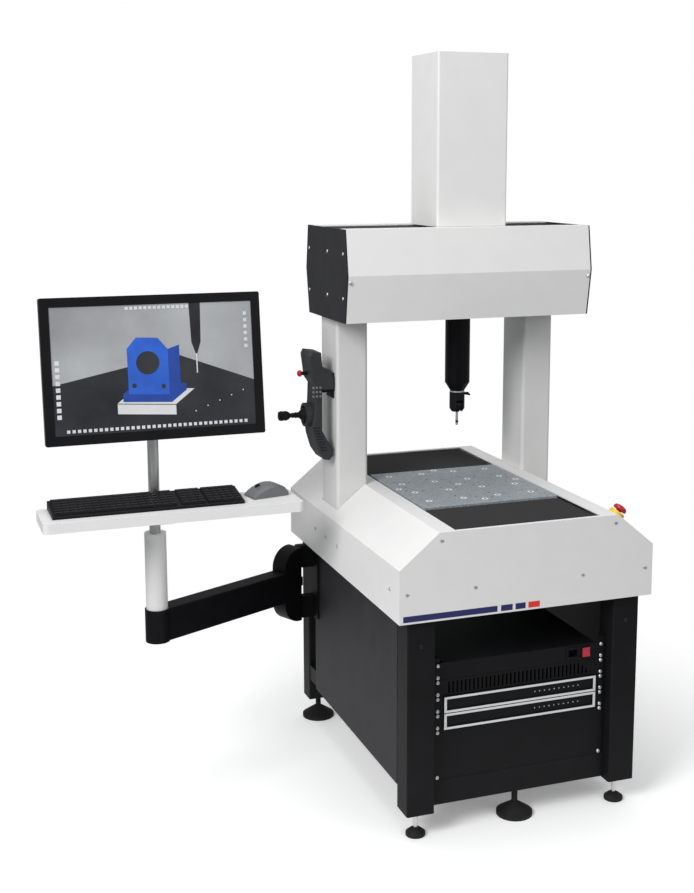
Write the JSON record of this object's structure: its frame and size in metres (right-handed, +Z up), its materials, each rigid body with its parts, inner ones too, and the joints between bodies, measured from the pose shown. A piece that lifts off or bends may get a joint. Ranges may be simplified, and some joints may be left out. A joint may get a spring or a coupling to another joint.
{
  "type": "coordinate measuring machine",
  "caption": "Moving-table bridge coordinate measuring machine on a rack stand, with a touch-probe quill, hand pendant and swing-arm workstation.",
  "frame": {"origin": "on the floor, at the middle of the front support foot", "axes": "+Z up, +X to the operator's right, +Y from the operator's side towards the back"},
  "size_m": [1.5077, 0.913, 1.9826],
  "materials": {
    "white_cover": "light fine-textured powder coat",
    "light_grey_paint": "smooth satin paint",
    "charcoal_paint": "fine-textured powder coat",
    "panel_grey": "fine-textured powder coat",
    "rack_black": "satin black paint",
    "granite": "honed grey granite with fine grain",
    "ground_steel": "ground",
    "zinc_steel": "bright zinc",
    "machined_aluminium": "bead-blasted anodised",
    "bellows_cloth": "coated folded cloth",
    "foot_rubber": "moulded matt",
    "quill_black": "smooth semi-gloss black",
    "head_black": "moulded satin",
    "probe_steel": "polished",
    "stop_red": "moulded gloss",
    "stop_yellow": "moulded satin",
    "arm_black": "textured black powder coat",
    "tube_white": "smooth gloss powder coat",
    "post_silver": "brushed anodised",
    "tray_white": "melamine-faced board",
    "key_black": "fine moulded texture",
    "mouse_shell": "satin grey",
    "screen_case": "satin black",
    "pendant_grey": "fine moulded texture",
    "soft_black": "moulded matt"
  },
  "bodies": {
    "machine_base": {"left_side_frame": "charcoal_paint", "right_side_frame": "charcoal_paint", "cross_beams": "charcoal_paint", "side_panels": "panel_grey", "kick_panel": "charcoal_paint", "rack_rails": "zinc_steel", "power_unit": "rack_black", "vent_panel": "rack_black", "upper_controller": "rack_black", "lower_controller": "rack_black", "blank_panel": "rack_black", "support_feet": "foot_rubber", "levelling_feet": "zinc_steel", "granite_base": "granite", "front_cover": "white_cover", "left_cover": "white_cover", "right_cover": "white_cover", "rear_cover": "white_cover", "guide_rails": "ground_steel", "screw_bearings": "machined_aluminium", "table_motor": "rack_black", "left_column": "light_grey_paint", "right_column": "light_grey_paint", "crossbeam": "granite", "beam_front_cover": "white_cover", "beam_rear_cover": "white_cover", "beam_end_caps": "panel_grey", "magnet_track": "ground_steel", "way_bellows": "bellows_cloth", "table_bellows": "bellows_cloth", "stop_collar": "stop_yellow", "pendant_hook": "charcoal_paint", "arm_bracket": "arm_black"},
    "table": {"table_plate": "granite", "table_inserts": "zinc_steel", "table_carriage": "machined_aluminium"},
    "drive_screw": {"table_screw": "ground_steel"},
    "carriage": {"carriage_saddle": "machined_aluminium", "tower_cover": "white_cover", "tower_spine": "machined_aluminium"},
    "quill": {"quill": "quill_black", "head_adaptor": "machined_aluminium"},
    "head": {"head_body": "head_black"},
    "lever": {"head_lever": "head_black"},
    "knuckle": {"head_knuckle": "head_black", "probe": "probe_steel"},
    "stop_mushroom": {"stop_button": "stop_red"},
    "mains_rocker": {"rocker_switch": "stop_red"},
    "arm": {"swing_arm": "arm_black"},
    "tube": {"post_tube": "tube_white"},
    "post": {"lift_post": "post_silver"},
    "tray": {"tray": "tray_white", "keyboard": "key_black"},
    "mouse": {"mouse": "mouse_shell"},
    "screen_mount": {"monitor_mount": "screen_case"},
    "screen": {"monitor": "screen_case"},
    "pendant": {"pendant_body": "pendant_grey"},
    "gimbal": {"joystick_gimbal": "zinc_steel"},
    "stick": {"joystick": "soft_black"},
    "pendant_button": {"pendant_stop": "stop_red"}
  },
  "joints": [
    {"name": "table_travel", "type": "slide", "parent": "machine_base", "child": "table", "axis": [0, 1, 0], "range_m": [-0.185, 0.225], "deforming": ["table_bellows"]},
    {"name": "screw_turn", "type": "hinge", "parent": "machine_base", "child": "drive_screw", "pos_m": [0, 0, 0.726], "axis": [0, 1, 0], "range_deg": [-6700, 8150]},
    {"name": "carriage_travel", "type": "slide", "parent": "machine_base", "child": "carriage", "axis": [1, 0, 0], "range_m": [-0.215, 0.16], "deforming": ["way_bellows"]},
    {"name": "quill_travel", "type": "slide", "parent": "carriage", "child": "quill", "axis": [0, 0, 1], "range_m": [-0.146, 0.235]},
    {"name": "head_turn", "type": "hinge", "parent": "quill", "child": "head", "pos_m": [0.0275, 0.463, 1.03], "axis": [0, 0, 1], "range_deg": [-180, 180]},
    {"name": "lever_turn", "type": "hinge", "parent": "head", "child": "lever", "pos_m": [0.0575, 0.463, 1.047], "axis": [1, 0, 0], "range_deg": [-40, 40]},
    {"name": "head_tilt", "type": "hinge", "parent": "head", "child": "knuckle", "pos_m": [0.0275, 0.463, 1.015], "axis": [1, 0, 0], "range_deg": [-90, 90]},
    {"name": "stop_press", "type": "slide", "parent": "machine_base", "child": "stop_mushroom", "axis": [-0.6384, 0, -0.7697], "range_m": [0, 0.004], "stiffness_N_per_m": 3000},
    {"name": "rocker_rock", "type": "hinge", "parent": "machine_base", "child": "mains_rocker", "pos_m": [0.1875, -0.02, 0.43097], "axis": [1, 0, 0], "range_deg": [-7, 7]},
    {"name": "arm_swing", "type": "hinge", "parent": "machine_base", "child": "arm", "pos_m": [-0.3724, 0.7052, 0.4665], "axis": [0, 0, 1], "range_deg": [-60, 15]},
    {"name": "post_turn", "type": "hinge", "parent": "arm", "child": "tube", "pos_m": [-0.841, 0.473, 0.47], "axis": [0, 0, 1], "range_deg": [-90, 90]},
    {"name": "post_lift", "type": "slide", "parent": "tube", "child": "post", "axis": [0, 0, 1], "range_m": [-0.03, 0.16]},
    {"name": "tray_turn", "type": "hinge", "parent": "post", "child": "tray", "pos_m": [-0.841, 0.473, 0.78], "axis": [0, 0, 1], "range_deg": [-45, 45]},
    {"name": "mouse_slide", "type": "slide", "parent": "tray", "child": "mouse", "axis": [0, 1, 0], "range_m": [-0.05, 0.015]},
    {"name": "monitor_turn", "type": "hinge", "parent": "post", "child": "screen_mount", "pos_m": [-0.841, 0.473, 1.17], "axis": [0, 0, 1], "range_deg": [-90, 90]},
    {"name": "monitor_tilt", "type": "hinge", "parent": "screen_mount", "child": "screen", "pos_m": [-0.841, 0.445, 1.17], "axis": [1, 0, 0], "range_deg": [-12, 12]},
    {"name": "pendant_lift", "type": "slide", "parent": "machine_base", "child": "pendant", "axis": [0, 0, 1], "range_m": [0, 0.06]},
    {"name": "stick_pitch", "type": "hinge", "parent": "pendant", "child": "gimbal", "pos_m": [-0.4013, 0.523, 1.004], "axis": [0, 1, 0], "range_deg": [-15, 15], "stiffness_Nm_per_rad": 4},
    {"name": "stick_yaw", "type": "hinge", "parent": "gimbal", "child": "stick", "pos_m": [-0.4013, 0.523, 1.004], "axis": [0, 0, 1], "range_deg": [-15, 15], "stiffness_Nm_per_rad": 4},
    {"name": "pendant_press", "type": "slide", "parent": "pendant", "child": "pendant_button", "axis": [1, 0, 0], "range_m": [0, 0.003], "stiffness_N_per_m": 1500}
  ],
  "couplings": [
    {"joint": "screw_turn", "follows": "table_travel", "rad_per_m": 628.32}
  ]
}
